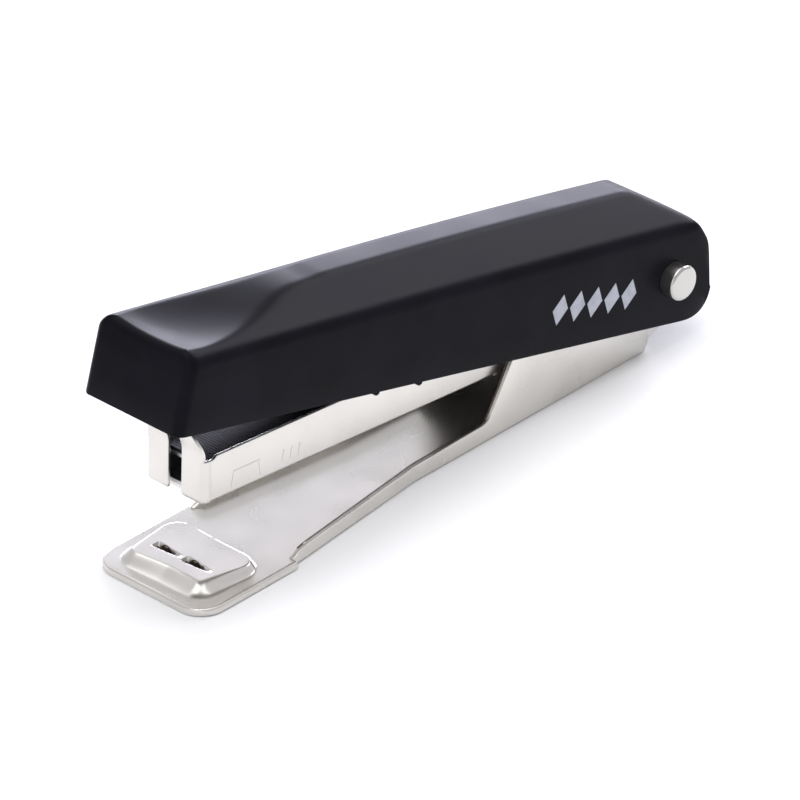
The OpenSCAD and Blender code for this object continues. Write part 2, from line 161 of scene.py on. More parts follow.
def pitched(points, degrees):
    """Points of a part's own level frame, moved into the row frame: nose up by degrees about the pin."""
    a = math.radians(degrees)
    p = np.asarray(points, float)
    out = p.copy()
    out[..., 0] = p[..., 0] * math.cos(a) + p[..., 2] * math.sin(a) + PIN.x
    out[..., 2] = -p[..., 0] * math.sin(a) + p[..., 2] * math.cos(a) + PIN.z
    return out


def smooth_step(t):
    """0 to 1 with a level start and end."""
    t = np.clip(t, 0, 1)
    return t * t * (3 - 2 * t)


def soft_min(a, b, k):
    """The lower of a and b, with the edge between them rounded over a height of k."""
    h = np.maximum(k - np.abs(a - b), 0) / k
    return np.minimum(a, b) - h * h * k / 4


def tube(loops, caps=True):
    """Closed skin through equal loops of points, one per station."""
    loops = np.asarray(loops, float)
    n, m, _ = loops.shape
    faces = [(i * m + j, i * m + (j + 1) % m, (i + 1) * m + (j + 1) % m, (i + 1) * m + j)
             for i in range(n - 1) for j in range(m)]
    if caps:
        faces += [tuple(range(m))[::-1], tuple((n - 1) * m + j for j in range(m))]
    return loops.reshape(-1, 3), faces


def joined(*skins):
    """Several skins as one list of points and faces."""
    points, faces, start = [], [], 0
    for p, f in skins:
        points.append(p)
        faces += [tuple(v + start for v in face) for face in f]
        start += len(p)
    return np.concatenate(points), faces


def mirrored(skin):
    """The same skin on the other side of the middle plane."""
    points, faces = skin
    return points * np.array([1, -1, 1]), [face[::-1] for face in faces]


def mesh_piece(name, skin, angle=32):
    """A named mesh object from points in millimetres, closed, facing outward and smooth below angle."""
    points, faces = skin
    mesh = bpy.data.meshes.new(name)
    mesh.from_pydata((np.asarray(points) * MM).tolist(), [], faces)
    shape = bmesh.new()
    shape.from_mesh(mesh)
    bmesh.ops.remove_doubles(shape, verts=shape.verts, dist=2e-7)
    bmesh.ops.dissolve_degenerate(shape, edges=shape.edges, dist=1e-7)
    bmesh.ops.recalc_face_normals(shape, faces=shape.faces)
    shape.to_mesh(mesh)
    shape.free()
    mesh.shade_smooth()
    mesh.set_sharp_from_angle(angle=math.radians(angle))
    piece = bpy.data.objects.new(name, mesh)
    bpy.context.scene.collection.objects.link(piece)
    return piece


def pitched_piece(name, skin, degrees, angle=32):
    """A named mesh object from a skin in a part's own level frame."""
    points, faces = skin
    return mesh_piece(name, (pitched(points, degrees), faces), angle)


def place_points(piece, points, degrees):
    """Moves the piece's points to these, given in a part's own level frame."""
    placed = (pitched(points, degrees) * MM).astype(np.float32)
    piece.data.vertices.foreach_set("co", placed.ravel())
    piece.data.update()


def finish_piece(piece, body, nodes, material):
    """Gives the piece its material and body, and hides the frame's nodes that it stands for."""
    piece.data.materials.clear()
    piece.data.materials.append(material)
    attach(piece, body)
    if nodes:
        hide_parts(*nodes)
    return piece


def plain_copy(holder, name):
    """The evaluated shape of holder as a plain mesh object; holder and its modifier are removed."""
    graph = bpy.context.evaluated_depsgraph_get()
    mesh = bpy.data.meshes.new_from_object(holder.evaluated_get(graph))
    mesh.name = name
    bpy.data.objects.remove(holder)
    piece = bpy.data.objects.new(name, mesh)
    bpy.context.scene.collection.objects.link(piece)
    return piece


def cut(piece, cutter):
    """Takes cutter's solid out of piece."""
    modifier = piece.modifiers.new("cut", "BOOLEAN")
    modifier.operation = "DIFFERENCE"
    modifier.solver = "MANIFOLD"
    modifier.object = cutter
    name = piece.name
    piece.name = name + "_uncut"
    done = plain_copy(piece, name)
    bpy.data.objects.remove(cutter)
    return done


def section(y_out, y_in, low, high, bend=0.4, edge=0.2):
    """Loop in Y and Z round one upright sheet: outer face at y_out, inner face at y_in."""
    bend = max(0.01, min(bend, 0.45 * (high - low), 0.9 * abs(y_out - y_in)))
    edge = max(0.01, min(edge, 0.3 * (high - low), 0.45 * abs(y_out - y_in)))
    side = 1 if y_out > y_in else -1
    loop = []
    for centre_y, centre_z, r, start in ((y_out - side * bend, low + bend, bend, -90),
                                         (y_out - side * edge, high - edge, edge, 0),
                                         (y_in + side * edge, high - edge, edge, 90),
                                         (y_in + side * 0.02, low + 0.02, 0.02, 180)):
        for k in range(5):
            t = math.radians(start + 90 * k / 4)
            loop.append((centre_y + side * r * math.cos(t), centre_z + r * math.sin(t)))
    return loop


def along_x(xs, loops):
    """Skin through the loops (Y, Z), one at each x."""
    return tube([[(x, y, z) for y, z in loop] for x, loop in zip(xs, loops)])


# ---- materials ----

def node_of(tree, kind, settings=(), links=()):
    """Adds a node, sets its properties and inputs, and links its inputs to other nodes' outputs. A colour
    ramp's stops are a setting as well: two pairs of a place and an sRGB hex value."""
    node = tree.nodes.new(kind)
    for key, value in dict(settings).items():
        if key == "stops":
            for element, (place, colour) in zip(node.color_ramp.elements, value):
                element.position = place
                element.color = linear(colour)
        elif isinstance(key, str) and hasattr(node, key):
            setattr(node, key, value)
        else:
            node.inputs[key].default_value = value
    for key, output in dict(links).items():
        tree.links.new(output, node.inputs[key])
    return node


def new_material(name):
    """An empty node material, its tree, and the object's own coordinates in it."""
    material = bpy.data.materials.new(name)
    material.use_nodes = True
    tree = material.node_tree
    tree.nodes.clear()
    return material, tree, node_of(tree, "ShaderNodeTexCoord").outputs["Object"]


def plated_steel(name, colour, shade, roughness):
    """Steel sheet with a satin nickel plate: bright, warm grey, and a little cloudy where the plate is
    thinner, in patches some 6 mm across."""
    material, tree, place = new_material(name)
    clouds = node_of(tree, "ShaderNodeTexNoise", {"Scale": 160.0, "Detail": 1.0, "Roughness": 0.4},
                     {"Vector": place}).outputs["Fac"]
    tint = node_of(tree, "ShaderNodeValToRGB", {"stops": ((0.15, shade), (0.85, colour))}, {0: clouds})
    rough = node_of(tree, "ShaderNodeMapRange", {"To Min": roughness - 0.03, "To Max": roughness + 0.05},
                    {0: clouds})
    shader = node_of(tree, "ShaderNodeBsdfPrincipled", {"Metallic": 1.0},
                     {"Base Color": tint.outputs[0], "Roughness": rough.outputs[0]})
    node_of(tree, "ShaderNodeOutputMaterial", {}, {0: shader.outputs[0]})
    return material


def spring_wire(name, colour, shade, roughness):
    """Drawn or rolled spring steel, oiled: plain metal with a faintly cloudy skin. Where it is given a dark colour,
    for the staples, the pusher and driver blade, and the strips on the flanges and in the clinch grooves, that
    colour is painted shade.
    """
    material, tree, place = new_material(name)
    clouds = node_of(tree, "ShaderNodeTexNoise", {"Scale": 900.0, "Detail": 3.0}, {"Vector": place}).outputs["Fac"]
    tint = node_of(tree, "ShaderNodeValToRGB", {"stops": ((0.3, shade), (0.7, colour))}, {0: clouds})
    rough = node_of(tree, "ShaderNodeMapRange", {"To Min": roughness - 0.05, "To Max": roughness + 0.12},
                    {0: clouds})
    shader = node_of(tree, "ShaderNodeBsdfPrincipled", {"Metallic": 1.0},
                     {"Base Color": tint.outputs[0], "Roughness": rough.outputs[0]})
    node_of(tree, "ShaderNodeOutputMaterial", {}, {0: shader.outputs[0]})
    return material


def moulded_abs(name, colour, roughness):
    """Black ABS moulded in a spark-eroded tool: a satin skin with grains about 0.15 mm across, drawn at
    0.3 mm so that they show, and slightly uneven gloss where the melt flowed."""
    material, tree, place = new_material(name)
    grains = node_of(tree, "ShaderNodeTexNoise", {"Scale": 3300.0, "Detail": 2.0}, {"Vector": place}).outputs["Fac"]
    flow = node_of(tree, "ShaderNodeTexNoise", {"Scale": 120.0, "Detail": 3.0}, {"Vector": place}).outputs["Fac"]
    tint = node_of(tree, "ShaderNodeValToRGB", {"stops": ((0.3, "#0b0b10"), (0.7, colour))}, {0: flow})
    rough = node_of(tree, "ShaderNodeMapRange", {"To Min": roughness - 0.05, "To Max": roughness + 0.08}, {0: flow})
    relief = node_of(tree, "ShaderNodeBump", {"Strength": 0.12, "Distance": 0.00003}, {"Height": grains})
    shader = node_of(tree, "ShaderNodeBsdfPrincipled", {"IOR": 1.53, "Specular IOR Level": 0.05},
                     {"Base Color": tint.outputs[0], "Roughness": rough.outputs[0], "Normal": relief.outputs[0]})
    node_of(tree, "ShaderNodeOutputMaterial", {}, {0: shader.outputs[0]})
    return material


def pad_ink(name, colour):
    """Pale pad-printing ink: thin, matt and a touch uneven where the silicone pad lifted."""
    material, tree, place = new_material(name)
    patches = node_of(tree, "ShaderNodeTexNoise", {"Scale": 700.0, "Detail": 2.0}, {"Vector": place}).outputs["Fac"]
    tint = node_of(tree, "ShaderNodeValToRGB", {"stops": ((0.3, "#9da0aa"), (0.6, colour))}, {0: patches})
    shader = node_of(tree, "ShaderNodeBsdfPrincipled", {"Roughness": 0.55, "IOR": 1.5},
                     {"Base Color": tint.outputs[0]})
    node_of(tree, "ShaderNodeOutputMaterial", {}, {0: shader.outputs[0]})
    return material


def backdrop_paper(name, colour):
    """Smooth seamless paper: matt, with a barely uneven tone."""
    material, tree, place = new_material(name)
    fibres = node_of(tree, "ShaderNodeTexNoise", {"Scale": 6.0, "Detail": 2.0}, {"Vector": place}).outputs["Fac"]
    tint = node_of(tree, "ShaderNodeValToRGB", {"stops": ((0.3, "#f1f1f1"), (0.7, colour))}, {0: fibres})
    shader = node_of(tree, "ShaderNodeBsdfPrincipled", {"Roughness": 0.9, "Specular IOR Level": 0.1},
                     {"Base Color": tint.outputs[0]})
    node_of(tree, "ShaderNodeOutputMaterial", {}, {0: shader.outputs[0]})
    return material


FINISHES = {}


def finish(kind):
    """The shared material of that kind, made when it is first asked for."""
    if kind not in FINISHES:
        look = bpy.context.scene.stapler_finishes
        maker, *values = {
            "sheet": (plated_steel, "nickel_plated_sheet", look.plate, "#d2cfca", look.plate_roughness),
            "pin": (plated_steel, "turned_nickel_pin", "#c4c2be", "#bfbcb8", 0.2),
            "inner": (plated_steel, "zinc_plated_inner_parts", "#c9c9cb", "#b4b4b7", 0.36),
            # Staples in a dark tone: painted shade for the shadowed inside of the magazine.
            "staple": (spring_wire, "staple_wire_painted_shade", "#343437", "#29292c", 0.5),
            "spring": (spring_wire, "oiled_spring_steel", "#8b8b8e", "#76767a", 0.32),
            # A brownish dark steel tone used as painted shade, on the flange edges and in the clinch grooves.
            "shade_strip": (spring_wire, "steel_painted_shade", "#6f655e", "#5a514b", 0.4),
            # A dark tone for the pusher and driver blade: painted shade for the shadowed inside of the cap and
            # magazine.
            "blade": (spring_wire, "tool_steel_painted_shade", "#4b4b4e", "#3d3d40", 0.35),
            "cap": (moulded_abs, "satin_black_abs", look.cap, look.cap_roughness),
            "ink": (pad_ink, "pale_pad_print", look.ink),
            "paper": (backdrop_paper, "seamless_backdrop_paper", look.floor),
        }[kind]
        FINISHES[kind] = maker(*values)
    return FINISHES[kind]


# ---- cap ----

def quarter(u, n):
    """A quarter of a rounded square, falling from 1 to 0 as u goes from 0 to 1."""
    return (1 - np.clip(u, 0, 1) ** n) ** (1 / n)


def strip_z(x):
    """Height of the flat strip along the cap's top."""
    return CAP_TOP + 0.0187 * x - 0.00035 * x * x


def lower_z(x):
    """Height of the cap's lower edge, which curves up behind the hinge."""
    u = np.clip((x - 3) / (CAP_REAR - 3), 0, 1)
    return REAR_MID_Z - (CAP_SKIRT + REAR_MID_Z) * quarter(u, 2.6)


def roof(x, y, w):
    """Height of the cap's outer skin over the point (x, y): strip, chamfers, rear and thumb scoop."""
    x, y = np.asarray(x, float), np.asarray(y, float)
    top = strip_z(x)
    shoulder = 6.8 + 0.032 * x - 0.0001 * x * x
    chamfer = top - (top - shoulder) * (np.abs(y) - STRIP_HALF) / (w - STRIP_HALF)
    z = soft_min(top, chamfer, EDGE_BLEND)

    # The rear: a sloping facet, a rounded fall behind it, and the plane where the whole length ends.
    slope = KNEE_Z + 0.43 * (KNEE_X - x)
    u = np.clip((x - KNEE_X) / (CAP_REAR + 0.5 - KNEE_X), 0, 1)
    ahead = KNEE_Z + 1.2 * (KNEE_X - x)
    fall = np.where(x < KNEE_X, ahead, REAR_MID_Z + (KNEE_Z - REAR_MID_Z) * (1 - u) ** 0.4545)
    pitch = math.radians(CAP_PITCH)
    upright = (REAR_PLANE - math.cos(pitch) * x) / math.sin(pitch)
    z = soft_min(z, soft_min(slope, soft_min(fall, upright, 1.0), 0.35), EDGE_BLEND)

    # The thumb scoop: a gentle drop towards the nose, hollow across its front half.
    sink = smooth_step((SCOOP_X - x) / SCOOP_LEN)
    hollow = smooth_step((SCOOP_X - 7 - x) / 14)
    dish = SCOOP_FLOOR + (strip_z(SCOOP_X) + 0.02 - SCOOP_FLOOR) * (1 - sink) + SCOOP_HOLLOW * hollow * y * y
    dish = dish + 0.6 * np.maximum(0, x - SCOOP_X)
    return soft_min(z, dish, 0.35 + 0.3 * (1 - hollow)) - 0.003 * y * y


def lean(points):
    """Front face's lean: the nose runs forward at its lower edge, fading over the first 10 mm."""
    out = points.copy()
    fade = np.clip(1 - (points[..., 0] - CAP_NOSE) / 10, 0, 1)
    out[..., 0] -= NOSE_RAKE * fade * (4 - points[..., 2]) / (4 + CAP_SKIRT)
    return out


def cap_outline(x0, x1, w, r):
    """Plan of the cap from the middle of its rear, along the near side, round the nose and back."""
    t = np.linspace(0, 1, 70)
    side = x1 + (x0 + r - x1) * (0.82 * t + 0.18 * smooth_step(t))
    extra = x1 - (x1 - 3) * np.linspace(0, 1, 16)[1:-1] ** 1.6
    side = np.array(sorted(set(np.round(np.concatenate([side, extra]), 4)), reverse=True))
    near = [(x1, -w * k) for k in np.linspace(0, 1, 14)[:-1]] + [(x, -w) for x in side]
    near += [(x0 + r - r * math.sin(a), -w + r - r * math.cos(a)) for a in np.linspace(0, math.pi / 2, 9)[1:]]
    near += [(x0, -(w - r) * k) for k in np.linspace(1, 0, 13)[1:]]
    near = np.array(near)
    return np.concatenate([near, near[-2:0:-1] * (1, -1)])


def cap_skin(x0, x1, w, r, drop, fillet):
    """Rows of points from the lower rim, up the walls, over the fillet and in to the middle line."""
    plan = cap_outline(x0, x1, w, r)
    x, y = plan[:, 0], plan[:, 1]
    spine = np.stack([np.clip(x, x0 + 5, x1 - 6), np.zeros(len(x))], 1)
    inward = spine - plan
    inward /= np.maximum(np.linalg.norm(inward, axis=1), 1e-6)[:, None]
    across = np.stack([np.zeros(len(x)), -np.sign(y)], 1)
    inward = np.where((np.abs(y) >= w - 1e-6)[:, None], across, inward)
    front = (np.abs(x - x0) < 1e-6) & (np.abs(y) <= w - r)
    inward = np.where(front[:, None], np.array([1.0, 0.0]), inward)
    low = lower_z(np.minimum(x, x1 - 1e-3) * CAP_REAR / x1)
    edge = roof(x, y, w) - drop
    room = np.maximum(edge - low, 0.02)
    f = np.minimum(fillet * (1 - 0.45 * smooth_step(x / 5)), 0.42 * room)
    lip = np.minimum(0.25, 0.2 * room)
    rows = []

    def inset_by(amount):
        """The plan moved inward, by one amount or by one for each point."""
        return plan + inward * np.broadcast_to(amount, len(x))[:, None]

    def row(p, z):
        """Adds a row of points over the plan p."""
        rows.append(np.stack([p[:, 0], p[:, 1], z], 1))

    row(inset_by(lip), low)
    row(inset_by(lip * 0.3), low + lip * 0.3)
    row(plan, low + lip)
    for k in (0.35, 0.7, 1.0):
        row(plan, low + lip + (edge - f - low - lip) * k)
    for a in (20, 40, 60, 75, 90):
        p = inset_by(f * (1 - math.cos(math.radians(a))))
        row(p, roof(p[:, 0], p[:, 1], w) - drop - f * (1 - math.sin(math.radians(a))))
    ring = rows[-1][:, :2]
    for k in np.linspace(0, 1, 27)[1:]:
        p = ring + (spine - ring) * (0.75 * k + 0.25 * k * k)
        row(p, roof(p[:, 0], p[:, 1], w) - drop)
    return lean(np.array(rows))


def cap_solid():
    """The moulding as one closed skin: outside, inside and the rim between them."""
    outer = cap_skin(CAP_NOSE, CAP_REAR, CAP_OUT, 1.3, 0.0, 1.15)
    inner = cap_skin(CAP_NOSE + CAP_WALL, CAP_REAR - CAP_WALL, CAP_IN, 1.0, CAP_WALL, 0.4)
    inner[0, :, 2] = inner[1, :, 2] = np.minimum(inner[0, :, 2], inner[1, :, 2])
    rows, m = len(outer), outer.shape[1]
    points = np.concatenate([outer.reshape(-1, 3), inner.reshape(-1, 3)])
    faces = []
    for shell in (0, 1):
        base = shell * rows * m
        for i in range(rows - 1):
            for j in range(m):
                k = (j + 1) % m
                quad = (base + i * m + j, base + i * m + k, base + (i + 1) * m + k, base + (i + 1) * m + j)
                faces.append(quad if shell == 0 else quad[::-1])
    for j in range(m):
        k = (j + 1) % m
        faces.append((k, j, rows * m + j, rows * m + k))
    return points, faces


def box_skin(low, high):
    """A box between two corners."""
    (x0, y0, z0), (x1, y1, z1) = low, high
    return tube([[(x, y0, z0), (x, y1, z0), (x, y1, z1), (x, y0, z1)] for x in (x0, x1)])


def bar_skin(r, half):
    """A round bar along Y through the hinge axis."""
    turn = [math.tau * k / 64 for k in range(64)]
    return tube([[(r * math.cos(t), y, r * math.sin(t)) for t in turn] for y in (-half, half)])


def stroke(path, width, low, high):
    """Flat ribbon along a path in X and Z on a wall, from y = low to y = high, with mitred corners."""
    path = [Vector(p) for p in path]
    left, right = [], []
    for i, p in enumerate(path):
        before = (p - path[i - 1]).normalized() if i else (path[1] - p).normalized()
        after = (path[i + 1] - p).normalized() if i + 1 < len(path) else before
        normal = Vector((-(before + after).y, (before + after).x)).normalized()
        reach = width / 2 / max(0.4, normal.dot(Vector((-before.y, before.x))))
        left.append(p + normal * reach)
        right.append(p - normal * reach)
    return tube([[(a.x, low, a.y), (a.x, high, a.y), (b.x, high, b.y), (b.x, low, b.y)]
                 for a, b in zip(left, right)])


def tab_skin(x, y):
    """A small square tab with a pointed foot, hanging from the cap's lower edge."""
    levels = ((1, -CAP_SKIRT + 0.3), (1, -CAP_SKIRT - 0.5), (0.3, -CAP_SKIRT - 0.72))
    return tube([[(x - 0.5 * k, y, z), (x + 0.5 * k, y, z), (x + 0.5 * k, y + TAB_T, z),
                  (x - 0.5 * k, y + TAB_T, z)] for k, z in levels])


def lozenge_skin(x):
    """One lozenge of the printed mark, standing 0.02 mm proud of the cap's side."""
    rim = [(x - MARK_HALF, MARK_Z), (x + MARK_SLANT, MARK_Z + MARK_RISE),
           (x + MARK_HALF, MARK_Z), (x - MARK_SLANT, MARK_Z - MARK_RISE)]
    return tube([[(a, y, b) for a, b in rim] for y in (-CAP_OUT - 0.02, -CAP_OUT + 0.3)])


class STAPLER_OT_cap(bpy.types.Operator):
    """Moulded cap: flat strip, chamfers, thumb scoop, rounded nose and small tabs under its edge"""

    bl_idname = "stapler.cap"
    bl_label = "Cap"

    def execute(self, context):
        shell = pitched_piece("cap_shell_moulding", cap_solid(), CAP_PITCH, CAP_SMOOTH)
        room = box_skin((3, -CAP_IN - 0.02, -CAP_SKIRT - 1), (CAP_REAR + 1, CAP_IN + 0.02, 1.5))
        hole = bar_skin(2.45, CAP_OUT + 2)
        shell = cut(shell, pitched_piece("cap_cutter", joined(room, hole), CAP_PITCH))
        shell.data.shade_smooth()
        shell.data.set_sharp_from_angle(angle=math.radians(CAP_SMOOTH))
        finish_piece(shell, "cap", ["cap_shell"], finish("cap"))
        tabs = [tab_skin(x, y) for x in TAB_XS for y in (-CAP_IN - 0.75, CAP_IN + 0.05)]
        finish_piece(pitched_piece("cap_catch_tabs", joined(*tabs), CAP_PITCH),
                     "cap", [], finish("cap"))
        return {"FINISHED"}


class STAPLER_OT_print(bpy.types.Operator):
    """Pad-printed mark on the cap's side: a row of lozenges"""

    bl_idname = "stapler.print"
    bl_label = "Printed mark"

    def execute(self, context):
        marks = joined(*[lozenge_skin(x) for x in MARK_XS])
        finish_piece(pitched_piece("cap_printed_mark", marks, CAP_PITCH),
                     "cap", [], finish("ink"))
        return {"FINISHED"}


# ---- base ----

def half_width(x):
    """Half width of the base's plate: rounded corners at the nose, a jog, then the narrowing tail."""
    r = 3.6
    nose = BASE_HALF - r + np.sqrt(np.maximum(0, r * r - np.maximum(0, BASE_NOSE + r - x) ** 2))
    tail = ear_face(x) - 0.3
    return np.where(x < JOG_X, nose, nose + (tail - nose) * smooth_step((x - JOG_X) / 0.25))


def ear_face(x):
    """Outer face of the flange and ear at station x."""
    return np.interp(x, [JOG_X, KINK_X], [BASE_HALF - 0.7, EAR_OUT])


def groove_half(along):
    """Half width of a clinch groove, from its near tip at -1 to its blunt far end at 1."""
    return 0.46 + 0.17 * np.clip(along, -1, 1)


def pad_height(x, y):
    """Height of the pressed anvil pad over the plate: steep behind and at the near end, running out
    softly towards the nose, with two clinch grooves that are blunt at the far end."""
    middle, half = PAD_X - PAD_LEN / 2, PAD_LEN / 2
    dx = np.abs(x - middle) - (half - PAD_R)
    dy = np.abs(y) - (PAD_HALF - PAD_R)
    d = np.hypot(np.maximum(dx, 0), np.maximum(dy, 0)) + np.minimum(np.maximum(dx, dy), 0) - PAD_R
    back = np.clip((x - middle) / half, -1, 1)
    ramp = (2.0 - 1.5 * back) * (1 - 0.5 * np.clip(y / PAD_HALF, 0, 1))
    pad = (PAD_H - 0.15 * smooth_step((back + 1) / 2)) * smooth_step(-d / ramp)
    for centre in GROOVE_CENTRES:
        along = (y - centre) / GROOVE_REACH
        across = (x - GROOVE_X) / groove_half(along)
        near = smooth_step((along + 1) / 1.5) ** 0.8
        far = np.maximum(0, 1 - ((along - 0.5) / 0.5) ** 2) ** 0.6
        fall = np.where(along < 0.5, near, far)
        pad = pad - GROOVE_DEPTH * fall * smooth_step((1.25 - np.abs(across)) / 0.7)
    return pad


def plate_stations():
    """Stations along the base's plate: close at the nose, over the grooves and at the jog."""
    nose = [0, 0.02, 0.07, 0.14, 0.24, 0.34, 0.45, 0.6, 0.8, 1.0, 1.3, 1.6, 2, 2.4, 2.8, 3.2, 3.6]
    pad = np.arange(3.75, 16.3, 0.15)
    groove = np.arange(GROOVE_X - BASE_NOSE - 1.2, GROOVE_X - BASE_NOSE + 1.2, 0.07)
    jog = [16.36, 16.4, 16.45, 16.52, 16.6, 16.65, 17]
    tail = np.linspace(JOG_X + 1.2, BASE_REAR, 40)
    xs = np.concatenate([BASE_NOSE + np.concatenate([nose, pad, groove, jog]), tail])
    return np.array(sorted(set(np.round(xs, 4))))


def base_plate():
    """The flat plate with its rounded edge and the anvil pad."""
    r = 0.45
    xs = plate_stations()
    mid = np.linspace(-1, 1, 181)
    arc = [math.radians(a) for a in (0, 18, 36, 54, 72)]
    loops = []
    for x in xs:
        w = float(half_width(x))
        nose = r - math.sqrt(max(0, r * r - max(0, r - (x - BASE_NOSE)) ** 2))
        y = mid * (w - r)
        reach = BASE_T - nose
        top = reach + (pad_height(x, y) if x < JOG_X + 2 else 0 * y)
        under = min(0.15, reach / 3)
        rim = [(w - r + r * math.cos(a), max(under + 0.01, reach - r + r * math.sin(a))) for a in arc]
        loop = [(-w + 0.15 + nose * 0.3, 0.0), (w - 0.15 - nose * 0.3, 0.0), (w, under)]
        loop += rim + list(zip(y[::-1], top[::-1])) + [(-a, b) for a, b in rim[::-1]] + [(-w, under)]
        loops.append(loop)
    return along_x(xs, loops)


def base_ear():
    """Far flange and ear, from the jog to the rear, as one upright sheet."""
    def rim(degrees):
        """Points on the ear's round end."""
        return [(PIN.x + EAR_R * math.cos(a), PIN.z + EAR_R * math.sin(a)) for a in np.radians(degrees)]

    low_line = [(JOG_X, 0), (BASE_REAR - 0.6, 0), (BASE_REAR, 0.6), (BASE_REAR + 0.3, 1.6), (BASE_REAR + 2.4, 2.4)]
    low_line += rim([-20, -15, -10, -5, -1])
    high_line = [(JOG_X, 1.15), (JOG_X + 0.5, 1.3)] + FLANGE_TOP
    high_line += [(EAR_FOOT + 7.6, PIN.z + 3.7), (EAR_FOOT + 8.6, PIN.z + 4.1), (PIN.x, PIN.z + EAR_R)]
    high_line += rim(range(84, 0, -6)) + [(PIN.x + EAR_R * math.cos(math.radians(1)), PIN.z + 0.1)]
    stops = sorted(set([round(p[0], 3) for p in low_line + high_line]
                       + list(np.round(np.linspace(JOG_X, PIN.x + EAR_R * 0.999, 90), 3))
                       + list(np.round(np.linspace(EAR_FOOT, EAR_FOOT + 8.6, 30), 3))))
    xs = np.array([x for x in stops if x <= PIN.x + EAR_R * 0.9998])
    low = np.interp(xs, *zip(*low_line))
    high = np.maximum(np.interp(xs, *zip(*high_line)), low + 0.05)
    loops = []
    for x, a, b in zip(xs, low, high):
        start = min(1.0, 0.25 + (x - JOG_X) / 0.6)
        face = float(ear_face(x))
        loops.append(section(face - (1 - start) * 0.15, face - EAR_T, float(a), float(b), 0.5, 0.22))
    return along_x(xs, loops)


def groove_painted_shade():
    """Thin skins of painted shade in the deep far halves of the two clinch grooves: their dark colour stands for
    the shadow in the grooves.
    """
    skins = []
    for centre in GROOVE_CENTRES:
        loops = []
        for along in np.linspace(-0.15, 0.93, 22):
            y = centre + GROOVE_REACH * along
            reach = float(groove_half(along)) * 1.15 * math.sqrt(max(0.05, 1 - ((along - 0.39) / 0.58) ** 2))
            xs = GROOVE_X + np.linspace(-reach, reach, 11)
            zs = BASE_T + pad_height(xs, np.full(11, y))
            across = list(zip(xs, zs))
            loops.append([(x, y, z + 0.02) for x, z in across] + [(x, y, z - 0.05) for x, z in across[::-1]])
        skins.append(tube(loops))
    return joined(*skins)


def flange_shade_strip():
    """Strip of painted shade along the inner part of the flange's top edge and up the ear's front edge: a dark line
    that stands for the shade there.
    """
    xs = np.concatenate([np.linspace(JOG_X + 1.4, EAR_FOOT, 40), np.linspace(EAR_FOOT + 0.5, EAR_FOOT + 7.0, 8)])
    loops = []
    for x in xs:
        z, inner = float(np.interp(x, *zip(*FLANGE_TOP))), float(ear_face(x)) - EAR_T
        low, high = z - 0.3, z + 0.012
        loops.append([(inner + 0.02, low), (inner + 0.34, low), (inner + 0.34, high), (inner + 0.02, high)])
    return along_x(xs, loops)


class STAPLER_OT_base(bpy.types.Operator):
    """Pressed steel base: nose plate with its anvil pad, flanges and the two ears for the pin"""

    bl_idname = "stapler.base"
    bl_label = "Base"

    def execute(self, context):
        ear = base_ear()
        piece = mesh_piece("base_pressing", joined(base_plate(), ear, mirrored(ear)), 40)
        finish_piece(piece, "base", ["base_frame"], finish("sheet"))
        # Painted shade: a dark strip along each flange's top edge.
        edge = flange_shade_strip()
        finish_piece(mesh_piece("base_flange_painted_shade", joined(edge, mirrored(edge))),
                     "base", [], finish("shade_strip"))
        # Painted shade: dark skins in the clinch grooves.
        finish_piece(mesh_piece("clinch_groove_painted_shade", groove_painted_shade()),
                     "base", [], finish("shade_strip"))
        return {"FINISHED"}


class STAPLER_OT_pin(bpy.types.Operator):
    """Straight hinge pin with turned, bevelled ends"""

    bl_idname = "stapler.pin"
    bl_label = "Hinge pin"

    def execute(self, context):
        face, r = HIGH["hinge_pin"].y, 2.4
        profile = [(-face, 0.9), (-face, r - 0.42), (-face + 0.05, r - 0.3), (-face + 0.16, r - 0.12),
                   (-face + 0.3, r - 0.02), (-face + 0.42, r)]
        profile += [(-y, q) for y, q in profile[::-1]]
        turn = [math.tau * k / 72 for k in range(72)]
        loops = [[(PIN.x + q * math.cos(t), y, PIN.z + q * math.sin(t)) for t in turn] for y, q in profile]
        finish_piece(mesh_piece("hinge_pin_turned", tube(loops)),
                     "base", ["hinge_pin"], finish("pin"))
        return {"FINISHED"}


# ---- magazine ----

def channel_skin():
    """Folded channel between its front corners and the end of its floor, open at the top."""
    r, t = 0.6, MAG_T
    top = MAG_TOP
    xs = [SLOT_BACK, -MAG_LEN + 1.5, -MAG_LEN + 1.8, -MAG_LEN + 2.15, -MAG_LEN + 2.3, MAG_FLOOR_END]

    def fold(radius, side, floor, degrees):
        """Points round the bend between a side and the floor."""
        return [(side - radius + radius * math.cos(a), floor + radius - radius * math.sin(a))
                for a in np.radians(degrees)]

    loops = []
    for z in (top - 0.4, top - 0.4, top - 0.33, top - 0.05, top, top):
        outer = [(MAG_OUT, z - 0.15)] + fold(r, MAG_OUT, MAG_BOTTOM, range(0, 91, 15))
        inner = [(MAG_IN, z - 0.15)] + fold(0.12, MAG_IN, MAG_BOTTOM + t, (0, 45, 90))
        lip = [(MAG_OUT - 0.05, z - 0.04), (MAG_OUT - 0.15, z)]
        lip_in = [(MAG_IN + 0.15, z), (MAG_IN + 0.05, z - 0.04)]
        half = inner[::-1] + lip_in[::-1] + lip[::-1] + outer
        loops.append([(-y, q) for y, q in half] + [(y, q) for y, q in half[::-1]])
    return along_x(xs, loops)


